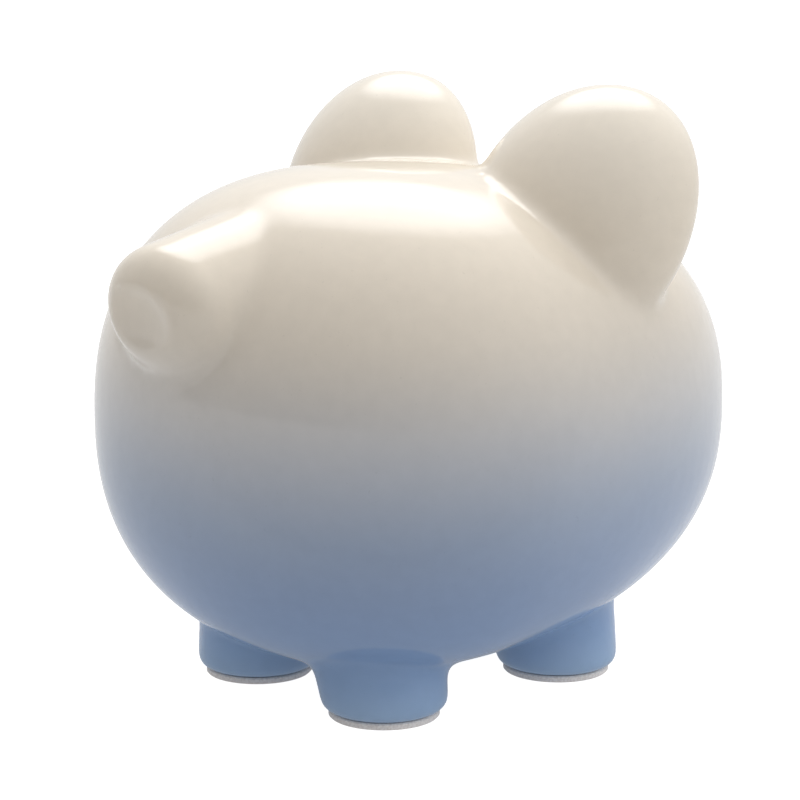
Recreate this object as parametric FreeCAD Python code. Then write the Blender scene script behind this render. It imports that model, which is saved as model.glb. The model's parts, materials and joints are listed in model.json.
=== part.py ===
"""A round glazed-ceramic pig money bank.

The pig faces -Y, its left side is +X and +Z is up. All sizes are in millimetres.
The origin lies on the surface that the bank stands on, under the middle of its box.

A hollow egg-shaped shell is cast first. The snout, the two ears, the tail and the four
feet are cast or pressed apart and luted onto it with slip before firing. The snout, ears
and feet are hollow too, and each breathes into the shell through a small vent. After
firing, a felt pad is stuck under each foot and a soft stopper closes the hole in the belly.
"""

import FreeCAD, Part

import math
import os

# ---- Shell. Its centre is the middle of its widest section.
shell_width = 181.0
shell_front = 77.5  # centre to the foremost point
shell_rump = 125.5  # centre to the rearmost point
shell_crown = 77.0  # centre up to the top
shell_belly = 72.5  # centre down to the underside
fullness = 2.36  # exponent of the outlines: 2 is an ellipse, more is squarer
wall = 4.5
belly_gap = 9.6  # floor to the lowest point of the shell

# ---- Snout
snout_stand = 5.8  # foremost point of the shell to the middle of the snout's face
snout_height = 38.5  # shell centre up to the middle of the face
snout_tilt = -8.0  # degrees that the face looks up
snout_half_width = 23.5
snout_half_height = 18.5
snout_flare = 4.0  # growth of the half height from the face to the root
snout_reach = 50.0  # face to the root, inside the shell
snout_edge = 11.0  # rounding of the face's edge
nostril_radius = 4.4
nostril_depth = 2.2
nostril_spacing = 13.0

# ---- Ears
ear_half_width = 38.5
ear_half_height = 44.0
ear_front_depth = 30.0  # rim to the front of the plump side
ear_back_depth = 18.0  # rim to the flatter back
ear_side = 44.5  # shell centre to the middle of the ear, along X
ear_drop = 18.0  # shell's crown down to the middle of the ear
ear_back = 46.5  # shell centre to the middle of the ear, along Y
ear_yaw = 4.0  # degrees that the ear faces outward
ear_lean = 22.5  # degrees that the ear leans back
ear_splay = 20.0  # degrees that the ear tips outward

# ---- Tail
tail_radius = 3.6  # of the rolled clay
tail_outer_bend = 9.5
tail_inner_bend = 5.5
tail_outer_turn = 240.0  # degrees
tail_inner_turn = 180.0
tail_turn = 82.0  # degrees from the crown round the back to the middle of the curl
tail_bedding = 1.6  # depth that the curl sinks into the rump

# ---- Feet and pads
foot_radius = 18.8
foot_flare = 1.5  # growth of the radius from the sole to the root
foot_edge = 3.0
foot_side = 30.0  # shell centre to a foot's axis, along X
foot_front = 18.7  # shell centre to the front feet, along Y
foot_rear = 52.3  # shell centre to the rear feet, along Y
vent_radius = 2.5
pad_inset = 2.3  # foot's side to the pad's rim
pad_thickness = 2.0
pad_edge = 0.4

# ---- Coin slot
slot_length = 40.0
slot_width = 5.0
slot_turn = 42.0  # degrees from the crown round the back to the middle of the slot

# ---- Stopper
hole_radius = 16.0
hole_back = 14.5  # shell centre to the hole's axis, along Y
seat_depth = 1.6  # flat that the flange rests on, above the lowest point of the shell
seat_margin = 0.6  # flat past the flange's rim
flange_land = 3.2  # flange past the hole's edge
flange_thickness = 2.2
flange_edge = 0.6
plug_clearance = 0.08
plug_reach = 8.0  # plug past the inner face of the wall
plug_wall = 3.0
plug_lead = 1.5  # chamfer at the plug's inner end
rib_depth = 0.7  # grooves between the plug's grip ribs
rib_width = 1.6
tab_width = 13.0
tab_thickness = 2.6
tab_height = 3.0
tab_edge = 0.9

outline_steps = 12  # spans of the curve that carries each quarter outline
seam_turn = 30.0  # degrees
origin = FreeCAD.Vector(0, 0, 0)
across = FreeCAD.Vector(1, 0, 0)
along = FreeCAD.Vector(0, 1, 0)
up = FreeCAD.Vector(0, 0, 1)
full_turn = 360.0
half_turn = 180.0
quarter_turn = 90.0


def vec(x, y, z):
    return FreeCAD.Vector(x, y, z)


def quarter(half_width, rise):
    """Quarter outline in the XZ plane, from (0, rise) round to (half_width, 0)."""
    points = []
    for step in range(outline_steps + 1):
        turn = math.pi / 2 * step / outline_steps
        x = half_width * math.sin(turn) ** (2 / fullness)
        z = rise * abs(math.cos(turn)) ** (2 / fullness)
        points.append(vec(x, 0, z))
    points[-1].z = 0
    downward = vec(0, 0, math.copysign(1, -rise))
    curve = Part.BSplineCurve()
    curve.interpolate(Points=points, InitialTangent=across, FinalTangent=downward)
    return curve.toShape()


def egg(inset):
    """The closed shape of the shell about its own centre, taken in by inset all round."""
    half_width = shell_width / 2 - inset
    crown = shell_crown - inset
    belly = shell_belly - inset
    axis = Part.LineSegment(vec(0, 0, crown), vec(0, 0, -belly)).toShape()
    edges = [quarter(half_width, crown), quarter(half_width, -belly), axis]
    section = Part.Face(Part.Wire(Part.sortEdges(edges)[0]))
    halves = []
    for length, turn in ((shell_rump, half_turn), (shell_front, -half_turn)):
        round_half = section.revolve(origin, up, turn)
        stretch = FreeCAD.Matrix()
        stretch.scale(1, (length - inset) / half_width, 1)
        halves.append(Part.Solid(round_half.transformGeometry(stretch).Shells[0]))
    return halves[0].fuse(halves[1])


outer = egg(0)
inner = egg(wall)
lowest = -shell_belly
floor = lowest - belly_gap
sole = floor + pad_thickness
seat = lowest + seat_depth
root_level = -shell_belly / 2  # tops of the feet's blanks, well inside the shell
foot_places = {"front": vec(foot_side, -foot_front, 0), "rear": vec(foot_side, foot_rear, 0)}


def spine(turn):
    """A point on the shell's back and its outward normal, turned from the crown to the rump."""
    angle = math.radians(turn)
    y = math.sin(angle) ** (2 / fullness)
    z = math.cos(angle) ** (2 / fullness)
    steepness = fullness - 1
    normal = vec(0, y**steepness / shell_rump, z**steepness / shell_crown).normalize()
    return vec(0, y * shell_rump, z * shell_crown), normal


def mirrored(shape):
    """The same piece on the pig's other side."""
    return shape.mirror(origin, across)


def rod(radius, base, tip):
    """A round bar between two points, its seam turned off the shell's middle plane."""
    span = tip - base
    bar = Part.makeCylinder(radius, span.Length, base, span)
    bar.rotate(base, span, seam_turn)
    return bar


def turned(points, edge):
    """Solid turned about Z from a profile of four points, its second corner rounded."""
    start, corner, shoulder, top = points
    draft = (shoulder - corner).normalize()
    arc_start = corner - across * edge
    arc_end = corner + draft * edge
    middle = corner + (draft - across).normalize() * edge * (math.sqrt(2) - 1)
    profile = Part.Wire([
        Part.LineSegment(start, arc_start).toShape(),
        Part.Arc(arc_start, middle, arc_end).toShape(),
        Part.LineSegment(arc_end, shoulder).toShape(),
        Part.LineSegment(shoulder, top).toShape(),
        Part.LineSegment(top, start).toShape(),
    ])
    return Part.Face(profile).revolve(origin, up, full_turn)


def hollow_cup(radius, flare, height, edge, thickness):
    """A tapered cup, closed at z = 0 and open at z = height, as it comes out of its mould."""
    shoulder = radius + flare
    skin = turned([origin, vec(radius, 0, 0), vec(shoulder, 0, height), vec(0, 0, height)], edge)
    hollow = turned(
        [
            vec(0, 0, thickness),
            vec(radius - thickness, 0, thickness),
            vec(shoulder - thickness, 0, height),
            vec(0, 0, height),
        ],
        max(edge - thickness, edge / 2),
    )
    return skin.cut(hollow)


def foot(place):
    """A stubby foot, its open top cut to the shell it is luted to."""
    blank = hollow_cup(foot_radius, foot_flare, root_level - sole, foot_edge, wall)
    blank.translate(place + up * sole)
    return blank.cut(outer)


def foot_pad(place):
    """A felt disc stuck under a foot."""
    disc = Part.makeCylinder(foot_radius - pad_inset, pad_thickness, place + up * floor)
    rims = [edge for edge in disc.Edges if edge.isClosed() and abs(edge.BoundBox.ZLength) < pad_edge]
    return disc.makeChamfer(pad_edge, rims)


def snout_frame():
    """Placement that sends +Z of the snout's mould into the head, and its face to the front."""
    turn = FreeCAD.Rotation(across, -quarter_turn - snout_tilt)
    return FreeCAD.Placement(vec(0, -shell_front - snout_stand, snout_height), turn)


def snout():
    """The oval snout with two shallow nostrils, its open back cut to the shell."""
    blank = hollow_cup(snout_half_height, snout_flare, snout_reach, snout_edge, wall)
    widen = FreeCAD.Matrix()
    widen.scale(snout_half_width / snout_half_height, 1, 1)
    oval = Part.Solid(blank.transformGeometry(widen).Shells[0])
    ball = (nostril_radius**2 + nostril_depth**2) / (2 * nostril_depth)
    nostril = Part.makeSphere(ball, vec(nostril_spacing / 2, 0, nostril_depth - ball))
    oval = oval.cut([nostril, mirrored(nostril)])
    oval.Placement = snout_frame()
    return oval.cut(outer)


def ear_frame():
    """Placement of the left ear: yawed outward, leaning back and tipped outward."""
    middle = vec(ear_side, ear_back, shell_crown - ear_drop)
    yaw = FreeCAD.Rotation(up, ear_yaw)
    lean = FreeCAD.Rotation(across, -ear_lean)
    splay = FreeCAD.Rotation(along, ear_splay)
    return FreeCAD.Placement(middle, yaw.multiply(lean).multiply(splay))


def lobe(inset):
    """The ear's closed shape about its own middle, plump in front, taken in by inset."""
    halves = []
    for depth, turn in ((ear_back_depth, 0), (ear_front_depth, half_turn)):
        half_ball = Part.makeSphere(1, origin, up, -quarter_turn, quarter_turn, half_turn)
        half_ball.rotate(origin, up, turn)
        stretch = FreeCAD.Matrix()
        stretch.scale(ear_half_width - inset, depth - inset, ear_half_height - inset)
        halves.append(Part.Solid(half_ball.transformGeometry(stretch).Shells[0]))
    return halves[0].fuse(halves[1])


def ear_left():
    """A plump hollow ear, its open foot cut to the shell."""
    blank = lobe(0).cut(lobe(wall))
    blank.Placement = ear_frame()
    return blank.cut(outer)


def roll(bend, turn):
    """A quarter-round roll of clay bent in the XY plane, from the -X side round by turn."""
    ring = Part.Circle(vec(-bend, 0, 0), along, tail_radius)
    section = Part.Face(Part.Wire(ring.toShape()))
    return section.revolve(origin, up, turn)


def tail():
    """A curled tail pressed onto the rump."""
    outer_roll = roll(tail_outer_bend, -tail_outer_turn)
    inner_roll = roll(tail_inner_bend, tail_inner_turn)
    inner_middle = vec(tail_inner_bend - tail_outer_bend, 0, 0)
    inner_roll.translate(inner_middle)
    root = FreeCAD.Rotation(up, -tail_outer_turn).multVec(vec(-tail_outer_bend, 0, 0))
    tip = inner_middle + FreeCAD.Rotation(up, tail_inner_turn).multVec(vec(-tail_inner_bend, 0, 0))
    curl = outer_roll.fuse([
        inner_roll, Part.makeSphere(tail_radius, root), Part.makeSphere(tail_radius, tip)
    ])
    spot, normal = spine(tail_turn)
    turn = FreeCAD.Rotation(up, normal)
    curl.Placement = FreeCAD.Placement(spot + normal * (tail_radius - tail_bedding), turn)
    return curl.cut(outer)


def slot_cutter():
    """The coin slot, along the spine and square to the shell's skin."""
    spot, normal = spine(slot_turn)
    half = slot_width / 2
    straight = slot_length / 2 - half
    depth = 4 * wall
    bar = Part.makeBox(slot_width, 2 * straight, depth, vec(-half, -straight, -depth / 2))
    ends = [
        Part.makeCylinder(half, depth, vec(0, end * straight, -depth / 2)) for end in (-1, 1)
    ]
    cutter = bar.fuse(ends).removeSplitter()
    lean = math.degrees(math.atan2(-normal.y, normal.z))
    cutter.Placement = FreeCAD.Placement(spot, FreeCAD.Rotation(across, lean))
    return cutter


def vents():
    """The breathing holes between the shell and each hollow piece luted to it."""
    bores = []
    for place in foot_places.values():
        foot_vent = rod(vent_radius, place + up * (sole + wall), place)
        bores += [foot_vent, mirrored(foot_vent)]
    face = snout_frame()
    bores.append(rod(vent_radius, face.multVec(up * 2 * wall), face.multVec(up * snout_reach)))
    ear = ear_frame()
    left_vent = rod(vent_radius, ear.Base, ear.multVec(up * ear_half_height / 2))
    bores += [left_vent, mirrored(left_vent)]
    return bores


def body_shell():
    """The hollow shell with its coin slot, stopper hole and vents."""
    hole_place = vec(0, hole_back, 0)
    hole = Part.makeCylinder(hole_radius, -floor, hole_place + up * floor)
    flat_radius = hole_radius + flange_land + seat_margin
    flat = Part.makeCylinder(flat_radius, seat - floor, hole_place + up * floor)
    return outer.cut([inner, slot_cutter(), hole, flat] + vents())


def ring_cut(shape, radius, depth, width, base):
    """Turn a square groove into a round bar that stands along Z."""
    tube = Part.makeCylinder(radius, width, base)
    return shape.cut(tube.cut(Part.makeCylinder(radius - depth, width, base)))


def plug(axis_point):
    """The stopper's hollow plug, with grooves that leave ribs to grip the shell's inside."""
    radius = hole_radius - plug_clearance
    top = lowest + wall + plug_reach
    solid = Part.makeCylinder(radius, top - seat, axis_point + up * seat)
    rims = [edge for edge in solid.Edges if edge.isClosed() and edge.BoundBox.ZMin > top - plug_lead]
    solid = solid.makeChamfer(plug_lead, rims)
    groove = lowest + wall + rib_width
    while groove < top - plug_lead - rib_width:
        solid = ring_cut(solid, radius, rib_depth, rib_width, axis_point + up * groove)
        groove += 2 * rib_width
    return solid.cut(Part.makeCylinder(radius - plug_wall, top - seat, axis_point + up * seat))


def stopper():
    """A soft stopper: flange and pull tab outside, ribbed hollow plug inside."""
    axis_point = vec(0, hole_back, 0)
    under = seat - flange_thickness
    flange = Part.makeCylinder(hole_radius + flange_land, flange_thickness, axis_point + up * under)
    rims = [edge for edge in flange.Edges if edge.isClosed() and edge.BoundBox.ZMax < seat - flange_edge]
    flange = flange.makeFillet(flange_edge, rims)
    corner = axis_point + vec(-tab_width / 2, -tab_thickness / 2, under - tab_height)
    tab = Part.makeBox(tab_width, tab_thickness, tab_height, corner)
    tab = tab.makeFillet(tab_edge, [edge for edge in tab.Edges if edge.BoundBox.ZMin < under - tab_edge])
    return flange.fuse([plug(axis_point), tab])


def stand(shape, middle):
    """Move a finished piece into the bank's own frame."""
    placed = shape.copy()
    placed.translate(vec(0, -middle, -floor))
    return placed


def main():
    pieces = {"body_shell": body_shell(), "snout": snout(), "tail": tail(), "stopper": stopper()}
    pairs = {"ear": ear_left()}
    for end, place in foot_places.items():
        pairs["foot_" + end] = foot(place)
        pairs["pad_" + end] = foot_pad(place)
    for name, left in pairs.items():
        pieces[name + "_left"] = left
        pieces[name + "_right"] = mirrored(left)
    box = Part.Compound(list(pieces.values())).optimalBoundingBox(False)
    middle = (box.YMin + box.YMax) / 2
    os.makedirs("parts", exist_ok=True)
    for name, shape in pieces.items():
        stand(shape, middle).exportStep(f"parts/{name}.step")
        print(name, "valid" if shape.isValid() else "INVALID", round(shape.Volume), "mm3")
    print("box", box)


main()
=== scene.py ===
"""Looks of a round glazed-ceramic pig money bank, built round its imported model.

The pig faces -Y, its left side is +X and it stands on the floor at z = 0. Sizes are in
metres, written as millimetres times MM. The ceramic is cast as one hollow skin, then parted
into the shell, snout, ears, tail and feet, so the glaze runs over the joints unbroken.
"""

import json
import math

import bpy
from mathutils import Euler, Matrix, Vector
from mathutils.bvhtree import BVHTree


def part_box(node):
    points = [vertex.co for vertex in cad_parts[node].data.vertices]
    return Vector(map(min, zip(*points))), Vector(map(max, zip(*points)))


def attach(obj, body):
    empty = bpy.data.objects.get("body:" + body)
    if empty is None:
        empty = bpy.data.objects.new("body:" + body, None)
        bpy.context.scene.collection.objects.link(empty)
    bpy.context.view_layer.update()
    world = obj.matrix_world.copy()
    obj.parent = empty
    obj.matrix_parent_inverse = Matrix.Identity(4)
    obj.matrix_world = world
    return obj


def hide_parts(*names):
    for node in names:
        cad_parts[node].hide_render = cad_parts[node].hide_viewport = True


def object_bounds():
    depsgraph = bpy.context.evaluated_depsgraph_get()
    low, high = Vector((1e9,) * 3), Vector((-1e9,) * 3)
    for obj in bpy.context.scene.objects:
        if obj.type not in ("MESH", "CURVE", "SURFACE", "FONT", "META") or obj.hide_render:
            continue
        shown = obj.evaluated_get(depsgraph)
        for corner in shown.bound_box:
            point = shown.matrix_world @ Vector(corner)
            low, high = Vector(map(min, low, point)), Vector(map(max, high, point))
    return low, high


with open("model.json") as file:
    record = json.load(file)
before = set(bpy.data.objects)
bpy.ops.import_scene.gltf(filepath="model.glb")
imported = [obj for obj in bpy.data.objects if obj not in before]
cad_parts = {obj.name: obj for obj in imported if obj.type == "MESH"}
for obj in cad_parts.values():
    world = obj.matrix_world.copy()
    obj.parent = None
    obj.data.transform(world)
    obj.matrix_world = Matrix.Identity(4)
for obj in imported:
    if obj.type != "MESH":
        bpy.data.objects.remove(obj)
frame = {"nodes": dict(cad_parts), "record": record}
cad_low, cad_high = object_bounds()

MM = 0.001
shell_low, shell_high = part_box("body_shell")
snout_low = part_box("snout")[0]
stopper_low, stopper_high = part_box("stopper")

# ---- Shell, about the middle of its widest section
SHELL_FRONT = 77.5 * MM
SHELL_CROWN = 77.0 * MM
SHELL_BELLY = 72.5 * MM
HALF_WIDTH = (shell_high.x - shell_low.x) / 2
SHELL_RUMP = shell_high.y - shell_low.y - SHELL_FRONT
FULLNESS = 2.36  # exponent of the outlines: 2 is an ellipse
CENTRE = Vector((0, shell_low.y + SHELL_FRONT, shell_high.z - SHELL_CROWN))
WALL = 4.5 * MM

# ---- Ears: two half ellipsoids, the plump one in front
EAR_WIDTH = 38.5 * MM
EAR_HEIGHT = 44.0 * MM
EAR_FRONT = 30.0 * MM
EAR_BACK = 18.0 * MM
EAR_PLACE = Vector((44.5, 46.5, 59.0)) * MM  # from the shell's centre
EAR_TURN = [math.radians(angle) for angle in (-22.5, 20.0, 4.0)]  # lean, splay, yaw

# ---- Snout
SNOUT_HALF_HEIGHT = 19.5 * MM
SNOUT_STRETCH = 1.27  # width to height
SNOUT_CROWN = 14.0 * MM  # depth of the rounding of its face
SNOUT_FLARE = 4.0 * MM
SNOUT_REACH = 50.0 * MM
SNOUT_RISE = 38.5 * MM  # shell's centre up to the middle of the face
SNOUT_TILT = math.radians(-8.0)
SNOUT_FULLNESS = 2.2
DISH_HALF = Vector((17.0, 10.0, 3.6)) * MM
NOSTRIL_RADIUS = 4.0 * MM
NOSTRIL_DEPTH = 1.0 * MM
NOSTRIL_SPACING = 13.0 * MM
NOSTRIL_SINK = 0.6  # how deep in the dish the nostrils lie, as a share of its depth
BUN_STEPS = 16

# ---- Feet
FOOT_RADIUS = 19.0 * MM
FOOT_EDGE = 3.5 * MM
EDGE_STEPS = 8
FOOT_ROOT_RADIUS = 23.0 * MM
FOOT_SPLAY = 9.0 * MM  # how far the root lies inward of the sole

# ---- Slot, tail and stopper hole
SLOT_LENGTH = 40.0 * MM
SLOT_WIDTH = 5.0 * MM
SLOT_TURN = 42.0  # degrees from the crown round the back
TAIL_TURN = 82.0
TAIL_RADIUS = 3.6 * MM
TAIL_OUTER = 9.5 * MM
TAIL_INNER = 5.5 * MM
TAIL_BEDDING = 1.6 * MM
TAIL_SWEEP = 240  # degrees of the outer curl; the inner one is half a turn
TAIL_LIFT = 0.4 * MM  # rise of the inner curl at each of its steps
TAIL_TAPER = 0.35
OUTER_STEPS = 8
INNER_STEPS = 6
HOLE_RADIUS = 16.0 * MM
HOLE_FLAT = 19.8 * MM
SEAT_RISE = 1.6 * MM
CUTTER_REACH = 20.0 * MM

# ---- Casting
VOXEL = 1.25 * MM
FILLET_REACH = 8.0 * MM
FILLET_PASSES = 30
FILLET_WEIGHT = {"ear": 1.1, "snout": 0.8, "foot": 1.8, "tail": 0.5}
SKIN_PASSES = 10
JOINT_MARGIN = 10.0 * MM  # how far a joint's parting line stands from the piece
TAIL_MARGIN = 3.0 * MM
JOINT_DEPTH = 2.0 * MM
SHARPEST_SMOOTH = math.radians(40)
NORMAL_REACH = 0.3 * MM  # how far off the whole skin a piece may take its shading from


def deselect():
    if bpy.context.object and bpy.context.object.mode != "OBJECT":
        bpy.ops.object.mode_set(mode="OBJECT")
    bpy.ops.object.select_all(action="DESELECT")


def hold(piece):
    """Make a piece the only selected and active one."""
    deselect()
    piece.select_set(True)
    bpy.context.view_layer.objects.active = piece
    return piece


def named(name):
    """Name the active object and its mesh."""
    piece = bpy.context.object
    piece.name = name
    piece.data.name = name
    return piece


def choose(piece, test):
    """Select in edit mode the points of a piece whose place passes a test."""
    hold(piece)
    mesh = piece.data
    for item in (*mesh.polygons, *mesh.edges):
        item.select = False
    for point in mesh.vertices:
        point.select = test(point.co)
    bpy.ops.object.mode_set(mode="EDIT")
    bpy.ops.mesh.select_mode(type="VERT")


def stretch(piece, factors, test=lambda place: True):
    """Scale the chosen points of a piece about the origin."""
    choose(piece, test)
    bpy.ops.transform.resize(value=factors, center_override=(0, 0, 0))
    bpy.ops.object.mode_set(mode="OBJECT")


def settle(piece, place, turn=(0, 0, 0), order="YXZ", scale=(1, 1, 1)):
    """Stand a piece at its place and write that place into its mesh."""
    hold(piece)
    piece.rotation_mode = order
    piece.rotation_euler = Euler(turn, order)
    piece.location = place
    piece.scale = scale
    bpy.ops.object.transform_apply(location=True, rotation=True, scale=True)
    return piece


def face_outward(piece):
    hold(piece)
    bpy.ops.object.mode_set(mode="EDIT")
    bpy.ops.mesh.select_all(action="SELECT")
    bpy.ops.mesh.normals_make_consistent(inside=False)
    bpy.ops.object.mode_set(mode="OBJECT")
    return piece


def copied(piece, name):
    """A copy of a piece with a mesh of its own."""
    hold(piece)
    bpy.ops.object.duplicate()
    return named(name)


def mirrored(piece, name):
    twin = copied(piece, name)
    settle(twin, (0, 0, 0), scale=(-1, 1, 1))
    return face_outward(twin)


def finish_with(piece, kind, **settings):
    """Add a modifier to a piece and apply it."""
    hold(piece)
    modifier = piece.modifiers.new(kind.lower(), kind)
    for key, value in settings.items():
        setattr(modifier, key, value)
    bpy.ops.object.modifier_apply(modifier=modifier.name)
    return piece


def combine(piece, other, operation, keep=False):
    """Join, cut or share two solids, and drop the other unless it is kept."""
    finish_with(piece, "BOOLEAN", object=other, operation=operation, solver="MANIFOLD")
    if not keep:
        bpy.data.objects.remove(other)
    return piece


def spun(name, profile, steps=96):
    """A closed shape turned about Z from a profile of radii and heights."""
    deselect()
    mesh = bpy.data.meshes.new(name)
    edges = [(index, index + 1) for index in range(len(profile) - 1)]
    mesh.from_pydata([(radius, 0, height) for radius, height in profile], edges, [])
    piece = bpy.data.objects.new(name, mesh)
    bpy.context.scene.collection.objects.link(piece)
    choose(piece, lambda place: True)
    bpy.ops.mesh.spin(steps=steps, angle=2 * math.pi, center=(0, 0, 0), axis=(0, 0, 1))
    bpy.ops.mesh.select_all(action="SELECT")
    bpy.ops.mesh.remove_doubles(threshold=0.001 * MM)
    bpy.ops.mesh.normals_make_consistent(inside=False)
    bpy.ops.object.mode_set(mode="OBJECT")
    return piece


def egg(name, inset=0.0, points=64):
    """The closed shape of the shell, taken in by inset all round."""
    half = HALF_WIDTH - inset
    profile = []
    for step in range(points + 1):
        turn = math.pi * step / points
        rise = (SHELL_CROWN if step <= points / 2 else SHELL_BELLY) - inset
        radius = half * abs(math.sin(turn)) ** (2 / FULLNESS)
        height = rise * math.copysign(abs(math.cos(turn)) ** (2 / FULLNESS), math.cos(turn))
        profile.append((radius if 0 < step < points else 0, height))
    piece = spun(name, profile)
    stretch(piece, (1, (SHELL_RUMP - inset) / half, 1), lambda place: place.y > 0)
    stretch(piece, (1, (SHELL_FRONT - inset) / half, 1), lambda place: place.y < 0)
    return settle(piece, CENTRE)


def spine(turn):
    """A point on the shell's back and its outward normal, turned from the crown."""
    angle = math.radians(turn)
    y = math.sin(angle) ** (2 / FULLNESS)
    z = math.cos(angle) ** (2 / FULLNESS)
    steepness = FULLNESS - 1
    normal = Vector((0, y**steepness / SHELL_RUMP, z**steepness / SHELL_CROWN)).normalized()
    return CENTRE + Vector((0, y * SHELL_RUMP, z * SHELL_CROWN)), normal


def ball(name, segments=64):
    deselect()
    bpy.ops.mesh.primitive_uv_sphere_add(segments=segments, ring_count=segments // 2, radius=1)
    return named(name)


def ear_form():
    """The left ear's closed shape, sunk into the shell."""
    piece = ball("ear_form", 96)
    stretch(piece, (EAR_WIDTH, 1, EAR_HEIGHT))
    stretch(piece, (1, EAR_FRONT, 1), lambda place: place.y < 0)
    stretch(piece, (1, EAR_BACK, 1), lambda place: place.y > 0)
    return settle(piece, CENTRE + EAR_PLACE, EAR_TURN)


def snout_frame():
    place = Vector((0, snout_low.y, CENTRE.z + SNOUT_RISE))
    return place, (-math.pi / 2 - SNOUT_TILT, 0, 0)


def snout_form():
    """A soft oval bun with a shallow dish and two nostrils pressed into its face."""
    profile = [(0, 0)]
    for step in range(1, BUN_STEPS + 1):
        depth = SNOUT_CROWN * (1 - math.cos(math.pi / 2 * step / BUN_STEPS))
        share = 1 - (1 - depth / SNOUT_CROWN) ** SNOUT_FULLNESS
        profile.append((SNOUT_HALF_HEIGHT * share ** (1 / SNOUT_FULLNESS), depth))
    profile += [(SNOUT_HALF_HEIGHT + SNOUT_FLARE, SNOUT_REACH), (0, SNOUT_REACH)]
    piece = spun("snout_form", profile)
    stretch(piece, (SNOUT_STRETCH, 1, 1))
    dish = ball("dish")
    stretch(dish, DISH_HALF)
    combine(piece, dish, "DIFFERENCE")
    for side in (-1, 1):
        nostril = ball("nostril", 32)
        stretch(nostril, (NOSTRIL_RADIUS, NOSTRIL_RADIUS, NOSTRIL_DEPTH))
        settle(nostril, (side * NOSTRIL_SPACING / 2, 0, DISH_HALF.z * NOSTRIL_SINK))
        combine(piece, nostril, "DIFFERENCE")
    return settle(piece, *snout_frame())


def foot_form(name, node):
    """A stubby foot with a rounded sole edge."""
    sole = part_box(node)[0].z
    profile = [(0, 0), (FOOT_RADIUS - FOOT_EDGE, 0)]
    for step in range(1, EDGE_STEPS + 1):
        turn = math.pi / 2 * step / EDGE_STEPS
        profile.append((
            FOOT_RADIUS - FOOT_EDGE + FOOT_EDGE * math.sin(turn),
            FOOT_EDGE - FOOT_EDGE * math.cos(turn),
        ))
    root = CENTRE.z - SHELL_BELLY / 2 - sole
    profile += [(FOOT_ROOT_RADIUS, root), (0, root)]
    piece = spun(name, profile, 64)
    pad_low, pad_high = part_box(node.replace("foot", "pad"))
    middle = (pad_low + pad_high) / 2
    inward = -math.copysign(FOOT_SPLAY, middle.x)
    choose(piece, lambda place: place.z > root - MM)
    bpy.ops.transform.translate(value=(inward, 0, 0))
    bpy.ops.object.mode_set(mode="OBJECT")
    return settle(piece, (middle.x, middle.y, sole))


def curl(name):
    """A roll of clay curled on itself, lying in the XY plane."""
    deselect()
    bpy.ops.curve.primitive_nurbs_path_add()
    path = bpy.context.object
    spline = path.data.splines[0]
    places = []
    for step in range(OUTER_STEPS + 1):
        turn = math.radians(180 - TAIL_SWEEP * step / OUTER_STEPS)
        places.append((TAIL_OUTER * math.cos(turn), TAIL_OUTER * math.sin(turn), 0))
    places.reverse()
    shift = TAIL_INNER - TAIL_OUTER
    for step in range(1, INNER_STEPS + 1):
        turn = math.radians(180 + 180 * step / INNER_STEPS)
        places.append((
            shift + TAIL_INNER * math.cos(turn), TAIL_INNER * math.sin(turn), TAIL_LIFT * step
        ))
    spline.points.add(len(places) - len(spline.points))
    for point, place in zip(spline.points, places):
        point.co = (*place, 1)
    for index, point in enumerate(spline.points):
        point.radius = 1.0 - TAIL_TAPER * index / len(places)
    path.data.bevel_depth = TAIL_RADIUS
    path.data.bevel_resolution = 6
    path.data.use_fill_caps = True
    path.data.resolution_u = 12
    bpy.ops.object.convert(target="MESH")
    piece = named(name)
    choose(piece, lambda place: True)
    bpy.ops.mesh.remove_doubles(threshold=0.01 * MM)
    bpy.ops.mesh.normals_make_consistent(inside=False)
    bpy.ops.object.mode_set(mode="OBJECT")
    return piece


def tail_form():
    piece = curl("tail_form")
    spot, normal = spine(TAIL_TURN)
    lean = math.atan2(-normal.y, normal.z)
    return settle(piece, spot + normal * (TAIL_RADIUS - TAIL_BEDDING), (lean, 0, 0))


def slot_cutter():
    """A round-ended bar along the spine, square to the skin."""
    deselect()
    bpy.ops.mesh.primitive_cylinder_add(vertices=32, radius=SLOT_WIDTH / 2, depth=6 * WALL)
    piece = named("slot_cutter")
    straight = SLOT_LENGTH / 2 - SLOT_WIDTH / 2
    for side in (-1, 1):
        choose(piece, lambda place: place.y * side > 0.01 * MM)
        bpy.ops.transform.translate(value=(0, side * straight, 0))
        bpy.ops.object.mode_set(mode="OBJECT")
    spot, normal = spine(SLOT_TURN)
    return settle(piece, spot, (math.atan2(-normal.y, normal.z), 0, 0))


def hole_cutters():
    """The belly hole and the flat that the stopper's flange rests on."""
    place = (stopper_low + stopper_high) / 2
    seat = CENTRE.z - SHELL_BELLY + SEAT_RISE
    sizes = (HOLE_RADIUS, -CUTTER_REACH, CUTTER_REACH), (HOLE_FLAT, -CUTTER_REACH, 0)
    cutters = []
    for radius, bottom, top in sizes:
        deselect()
        bpy.ops.mesh.primitive_cylinder_add(
            vertices=96, radius=radius, depth=top - bottom,
            location=(place.x, place.y, seat + (top + bottom) / 2),
        )
        cutters.append(settle(named("hole_cutter"), bpy.context.object.location))
    return cutters


FEET = ("foot_front_left", "foot_front_right", "foot_rear_left", "foot_rear_right")


def make_forms():
    forms = {"ear_left": ear_form()}
    forms["ear_right"] = mirrored(forms["ear_left"], "ear_form_right")
    forms["snout"] = snout_form()
    forms["tail"] = tail_form()
    for node in FEET:
        forms[node] = foot_form(node + "_form", node)
    return forms


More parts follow.
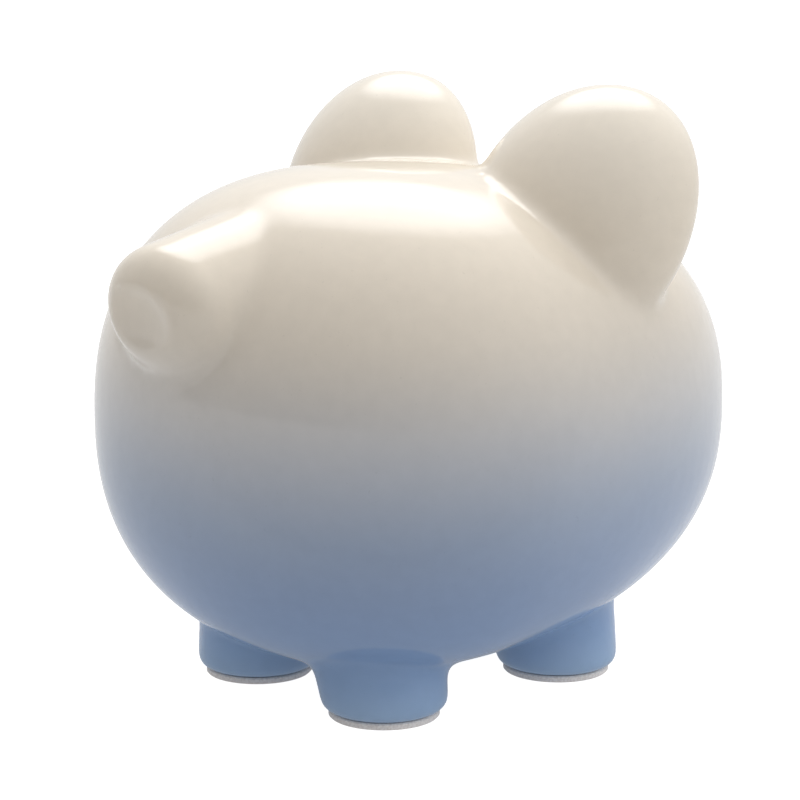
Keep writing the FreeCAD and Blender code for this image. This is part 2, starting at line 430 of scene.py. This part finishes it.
def near_both(place, shell_tree, part_tree):
    """How close a place is to the crease between the shell and a part, from 0 to 1."""
    farthest = 0.0
    for tree in (shell_tree, part_tree):
        hit = tree.find_nearest(place, FILLET_REACH)
        if hit[0] is None:
            return 0.0
        farthest = max(farthest, hit[3])
    return 1 - farthest / FILLET_REACH


def tree_of(piece):
    return BVHTree.FromObject(piece, bpy.context.evaluated_depsgraph_get())


def mark_creases(skin, shell, forms):
    """Weigh the skin's points by their nearness to a crease, for the fillet's smoothing."""
    group = skin.vertex_groups.new(name="creases")
    shell_tree = tree_of(shell)
    weights = {}
    for name, form in forms.items():
        part_tree = tree_of(form)
        corners = [form.matrix_world @ Vector(corner) for corner in form.bound_box]
        low = Vector(min(c[axis] for c in corners) - FILLET_REACH for axis in range(3))
        high = Vector(max(c[axis] for c in corners) + FILLET_REACH for axis in range(3))
        strength = FILLET_WEIGHT[name.split("_")[0]]
        for point in skin.data.vertices:
            place = point.co
            if all(low[axis] < place[axis] < high[axis] for axis in range(3)):
                weight = near_both(place, shell_tree, part_tree) * strength
                if weight > weights.get(point.index, 0):
                    weights[point.index] = weight
    for index, weight in weights.items():
        group.add([index], min(1, weight), "REPLACE")
    return group


def cast_skin(forms):
    """The whole ceramic in one piece, with soft fillets where its parts meet."""
    shell = egg("shell_form")
    skin = copied(shell, "skin")
    for form in forms.values():
        combine(skin, form, "UNION", keep=True)
    combine(skin, egg("hollow", WALL), "DIFFERENCE")
    combine(skin, slot_cutter(), "DIFFERENCE")
    for cutter in hole_cutters():
        combine(skin, cutter, "DIFFERENCE")
    finish_with(skin, "REMESH", mode="VOXEL", voxel_size=VOXEL)
    mark_creases(skin, shell, forms)
    finish_with(skin, "SMOOTH", factor=0.5, iterations=FILLET_PASSES, vertex_group="creases")
    finish_with(skin, "SMOOTH", factor=0.5, iterations=SKIN_PASSES)
    bpy.data.objects.remove(shell)
    return skin


def joint_zone(form, margin):
    """The room of a part and its fillet, down to a little below the shell's skin."""
    finish_with(form, "DISPLACE", strength=margin, mid_level=0)
    return combine(form, egg("bed", JOINT_DEPTH), "DIFFERENCE")


def smooth_over(piece, whole):
    """Shade a piece as the unbroken skin is, so that its joints don't show."""
    hold(piece)
    bpy.ops.object.shade_smooth_by_angle(angle=SHARPEST_SMOOTH)
    finish_with(
        piece, "DATA_TRANSFER", object=whole, use_loop_data=True,
        data_types_loops={"CUSTOM_NORMAL"}, loop_mapping="POLYINTERP_NEAREST",
        use_max_distance=True, max_distance=NORMAL_REACH,
    )


def part_skin(skin, forms):
    """Part the skin into the shell and the pieces that were luted to it."""
    pieces = {}
    whole = copied(skin, "whole_skin")
    bpy.ops.object.shade_smooth()
    for name, form in forms.items():
        zone = joint_zone(form, TAIL_MARGIN if name == "tail" else JOINT_MARGIN)
        piece = combine(copied(skin, name + "_glazed"), zone, "INTERSECT", keep=True)
        combine(skin, zone, "DIFFERENCE")
        pieces[name] = piece
    pieces["body_shell"] = skin
    skin.name = "body_shell_glazed"
    skin.data.name = skin.name
    for piece in pieces.values():
        smooth_over(piece, whole)
    bpy.data.objects.remove(whole)
    return pieces


def ramp_of(nodes, stops):
    ramp = nodes.new("ShaderNodeValToRGB")
    elements = ramp.color_ramp.elements
    while len(elements) < len(stops):
        elements.new(0.5)
    for element, (place, colour) in zip(elements, stops):
        element.position = place
        element.color = (*colour, 1)
    return ramp


GLAZE_HEIGHT = cad_high.z
GLAZE_DRIFT = 9.0 * MM  # how far the fade wanders up and down
GLAZE_STOPS = (
    (0.00, (0.400, 0.550, 0.740)),
    (0.08, (0.230, 0.370, 0.620)),
    (0.22, (0.250, 0.340, 0.530)),
    (0.36, (0.290, 0.365, 0.500)),
    (0.50, (0.560, 0.560, 0.570)),
    (0.64, (0.760, 0.680, 0.570)),
    (0.82, (0.840, 0.755, 0.635)),
    (1.00, (0.880, 0.810, 0.700)),
)


def grain(nodes, links, scale, detail):
    """A noise laid over the piece's own coordinates."""
    place = nodes.new("ShaderNodeTexCoord")
    noise = nodes.new("ShaderNodeTexNoise")
    noise.inputs["Scale"].default_value = scale
    noise.inputs["Detail"].default_value = detail
    links.new(place.outputs["Object"], noise.inputs["Vector"])
    return noise.outputs["Fac"]


def spread(nodes, links, source, before, after):
    """Map one range of values onto another."""
    mapped = nodes.new("ShaderNodeMapRange")
    mapped.inputs["From Min"].default_value, mapped.inputs["From Max"].default_value = before
    mapped.inputs["To Min"].default_value, mapped.inputs["To Max"].default_value = after
    links.new(source, mapped.inputs["Value"])
    return mapped.outputs["Result"]


def rough_up(nodes, links, height, strength, distance):
    bump = nodes.new("ShaderNodeBump")
    bump.inputs["Strength"].default_value = strength
    bump.inputs["Distance"].default_value = distance
    links.new(height, bump.inputs["Height"])
    links.new(bump.outputs["Normal"], nodes["Principled BSDF"].inputs["Normal"])


def shade_by(nodes, links, colour, amount):
    """Darken a colour by an amount that varies from place to place."""
    scaled = nodes.new("ShaderNodeVectorMath")
    scaled.operation = "SCALE"
    links.new(colour, scaled.inputs[0])
    links.new(amount, scaled.inputs["Scale"])
    return scaled.outputs["Vector"]


def glaze(name):
    """Clear glossy glaze over a sprayed colour that fades from blue up to warm white."""
    material = bpy.data.materials.new(name)
    material.use_nodes = True
    nodes, links = material.node_tree.nodes, material.node_tree.links
    shader = nodes["Principled BSDF"]
    place = nodes.new("ShaderNodeTexCoord")
    split = nodes.new("ShaderNodeSeparateXYZ")
    links.new(place.outputs["Object"], split.inputs["Vector"])
    wander = nodes.new("ShaderNodeMath")
    wander.operation = "MULTIPLY_ADD"
    wander.inputs[1].default_value = GLAZE_DRIFT
    links.new(grain(nodes, links, 14, 3), wander.inputs[0])
    links.new(split.outputs["Z"], wander.inputs[2])
    middle = GLAZE_DRIFT / 2
    height = spread(nodes, links, wander.outputs["Value"], (middle, GLAZE_HEIGHT + middle), (0, 1))
    fade = ramp_of(nodes, GLAZE_STOPS)
    fade.color_ramp.interpolation = "B_SPLINE"
    links.new(height, fade.inputs["Fac"])
    speck = spread(nodes, links, grain(nodes, links, 900, 2), (0.70, 0.78), (1.0, 0.93))
    mist = spread(nodes, links, grain(nodes, links, 220, 5), (0.3, 0.7), (0.985, 1.015))
    misted = shade_by(nodes, links, fade.outputs["Color"], mist)
    links.new(shade_by(nodes, links, misted, speck), shader.inputs["Base Color"])
    rough_up(nodes, links, grain(nodes, links, 60, 2), 0.05, 1 * MM)
    sheen = spread(nodes, links, grain(nodes, links, 35, 3), (0.3, 0.7), (0.06, 0.11))
    links.new(sheen, shader.inputs["Roughness"])
    shader.inputs["IOR"].default_value = 1.5
    return material


def plain(name, colour, roughness):
    material = bpy.data.materials.new(name)
    material.use_nodes = True
    shader = material.node_tree.nodes["Principled BSDF"]
    shader.inputs["Base Color"].default_value = (*colour, 1)
    shader.inputs["Roughness"].default_value = roughness
    return material


def textured(name, shades, roughness, scale, strength):
    """A matt material, mottled between two shades, with a grain that stands up a little."""
    material = plain(name, shades[0], roughness)
    nodes, links = material.node_tree.nodes, material.node_tree.links
    fibre = grain(nodes, links, scale, 4)
    mottle = ramp_of(nodes, ((0.35, shades[0]), (0.65, shades[1])))
    links.new(fibre, mottle.inputs["Fac"])
    links.new(mottle.outputs["Color"], nodes["Principled BSDF"].inputs["Base Color"])
    rough_up(nodes, links, fibre, strength, 0.3 * MM)
    return material


def dress(piece, material):
    piece.data.materials.clear()
    piece.data.materials.append(material)
    for face in piece.data.polygons:
        face.material_index = 0


forms = make_forms()
skin = cast_skin(forms)
pieces = part_skin(skin, forms)
slots = {record["node"]: record["material_slot"] for record in frame["record"]["subparts"]}
finishes = {slot: glaze(slot) for slot in ("fading_glaze", "cream_glaze", "blue_glaze")}
for node, piece in pieces.items():
    dress(piece, finishes[slots[node]])
    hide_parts(node)
    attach(piece, "bank")

FELT_SHADES = (0.80, 0.75, 0.73), (0.94, 0.91, 0.89)
RUBBER_SHADES = (0.74, 0.73, 0.68), (0.83, 0.82, 0.79)
felt = textured("pad_felt", FELT_SHADES, roughness=0.95, scale=1400, strength=0.6)
felt.node_tree.nodes["Principled BSDF"].inputs["Sheen Weight"].default_value = 0.3
rubber = textured("stopper_rubber", RUBBER_SHADES, roughness=0.4, scale=160, strength=0.12)
soft = rubber.node_tree.nodes["Principled BSDF"].inputs
soft["Subsurface Weight"].default_value = 0.15
soft["Subsurface Scale"].default_value = 3 * MM
for node, cad in frame["nodes"].items():
    if node.startswith("pad_"):
        dress(cad, felt)
    if node == "stopper":
        dress(cad, rubber)


# ---- Stage, light and camera
CAMERA_AZIMUTH = math.radians(48.7)
CAMERA_ELEVATION = math.radians(11.1)
CAMERA_DISTANCE = 777.0 * MM
AIM = CENTRE + Vector((0, 19.0, -1.7)) * MM
LENS = 113.4
SHIFT_X = -0.01625  # share of the sensor's width
SENSOR = 36
SHIFT_X = -0.01625  # share of the sensor's width
SHIFT_Y = 0.02
FLOOR_SIZE = 60
PAPER_FRONT = 127.0 * MM  # from the shell's centre to the paper's front edge
PAPER_FADE = 12.0 * MM
PAPER_LIGHT = 0.25, 0.05  # on the paper, and in front of it
SEEN_LIGHT = 0.95  # what the eye sees of the floor anywhere
GLOW_AZIMUTH = math.radians(228.7)
GLOW_ELEVATION = math.radians(52)
GLOW_EDGE = math.radians(27)
GLOW_CORE = math.radians(12)
GLOW_STRENGTH = 3.0
CEILING_LIGHT = 0.45
WALL_STOPS = (  # from behind the bank round to in front of its snout
    (0.00, (0.85, 0.85, 0.85)),
    (0.40, (0.85, 0.85, 0.85)),
    (0.70, (0.50, 0.495, 0.49)),
    (0.88, (0.26, 0.255, 0.25)),
    (0.97, (0.08, 0.08, 0.08)),
)


def toward(azimuth, elevation):
    """Unit vector from the bank to a place seen at an azimuth and elevation."""
    return Vector((
        math.sin(azimuth) * math.cos(elevation),
        -math.cos(azimuth) * math.cos(elevation),
        math.sin(elevation),
    ))


def make_camera():
    camera = bpy.data.objects.new("camera", bpy.data.cameras.new("camera"))
    bpy.context.scene.collection.objects.link(camera)
    back = toward(CAMERA_AZIMUTH, CAMERA_ELEVATION)
    camera.location = AIM + back * CAMERA_DISTANCE
    camera.rotation_mode = "QUATERNION"
    camera.rotation_quaternion = (-back).to_track_quat("-Z", "Y")
    camera.data.lens = LENS
    camera.data.sensor_width = SENSOR
    camera.data.shift_x = SHIFT_X
    camera.data.shift_y = SHIFT_Y
    bpy.context.scene.camera = camera


def along(nodes, links, place, direction):
    """How far a place lies in a direction."""
    product = nodes.new("ShaderNodeVectorMath")
    product.operation = "DOT_PRODUCT"
    product.inputs[1].default_value = direction
    links.new(place, product.inputs[0])
    return product.outputs["Value"]


def summed(nodes, links, first, second):
    total = nodes.new("ShaderNodeVectorMath")
    total.operation = "ADD"
    links.new(first, total.inputs[0])
    links.new(second, total.inputs[1])
    return total.outputs["Vector"]


def make_floor():
    """White paper whose front edge the glaze mirrors as a soft horizon."""
    deselect()
    bpy.ops.mesh.primitive_plane_add(size=FLOOR_SIZE)
    floor = named("floor")
    paper = plain("floor_paper", (0.5, 0.5, 0.5), 0.9)
    shader = paper.node_tree.nodes["Principled BSDF"]
    shader.inputs["Emission Color"].default_value = (1, 1, 1, 1)
    nodes, links = paper.node_tree.nodes, paper.node_tree.links
    place = nodes.new("ShaderNodeTexCoord")
    sight = nodes.new("ShaderNodeLightPath")
    front = toward(CAMERA_AZIMUTH, 0)
    edge = PAPER_FRONT + CENTRE.dot(front)
    ahead = along(nodes, links, place.outputs["Object"], front)
    lit = spread(nodes, links, ahead, (edge, edge + PAPER_FADE), PAPER_LIGHT)
    seen = spread(nodes, links, sight.outputs["Is Camera Ray"], (0, 1), (0, SEEN_LIGHT))
    brightest = nodes.new("ShaderNodeMath")
    brightest.operation = "MAXIMUM"
    links.new(lit, brightest.inputs[0])
    links.new(seen, brightest.inputs[1])
    links.new(brightest.outputs["Value"], shader.inputs["Emission Strength"])
    dress(floor, paper)


def make_world():
    """Pale studio walls, dim in front of the snout, with a soft glow high up behind."""
    world = bpy.data.worlds.new("studio")
    bpy.context.scene.world = world
    world.use_nodes = True
    nodes, links = world.node_tree.nodes, world.node_tree.links
    place = nodes.new("ShaderNodeTexCoord").outputs["Generated"]
    facing = along(nodes, links, place, toward(0, 0))
    walls = ramp_of(nodes, WALL_STOPS)
    links.new(spread(nodes, links, facing, (-1, 1), (0, 1)), walls.inputs["Fac"])
    upward = along(nodes, links, place, (0, 0, 1))
    ceiling = spread(nodes, links, upward, (0.15, 0.95), (0, CEILING_LIGHT))
    lit = summed(nodes, links, walls.outputs["Color"], ceiling)
    glow = nodes.new("ShaderNodeMapRange")
    glow.interpolation_type = "SMOOTHSTEP"
    glow.inputs["From Min"].default_value = math.cos(GLOW_EDGE)
    glow.inputs["From Max"].default_value = math.cos(GLOW_CORE)
    glow.inputs["To Max"].default_value = GLOW_STRENGTH
    behind = along(nodes, links, place, toward(GLOW_AZIMUTH, GLOW_ELEVATION))
    links.new(behind, glow.inputs["Value"])
    added = summed(nodes, links, lit, glow.outputs["Result"])
    sight = nodes.new("ShaderNodeLightPath")
    seen = nodes.new("ShaderNodeMix")
    seen.data_type = "RGBA"
    colours = [socket for socket in seen.inputs if socket.type == "RGBA"]
    colours[1].default_value = (1.0, 1.0, 1.0, 1)
    links.new(sight.outputs["Is Camera Ray"], seen.inputs["Factor"])
    links.new(added, colours[0])
    result = [socket for socket in seen.outputs if socket.type == "RGBA"][0]
    links.new(result, nodes["Background"].inputs["Color"])
    nodes["Background"].inputs["Strength"].default_value = 1.0


make_camera()
make_floor()
make_world()
bpy.context.scene.view_settings.view_transform = "Standard"
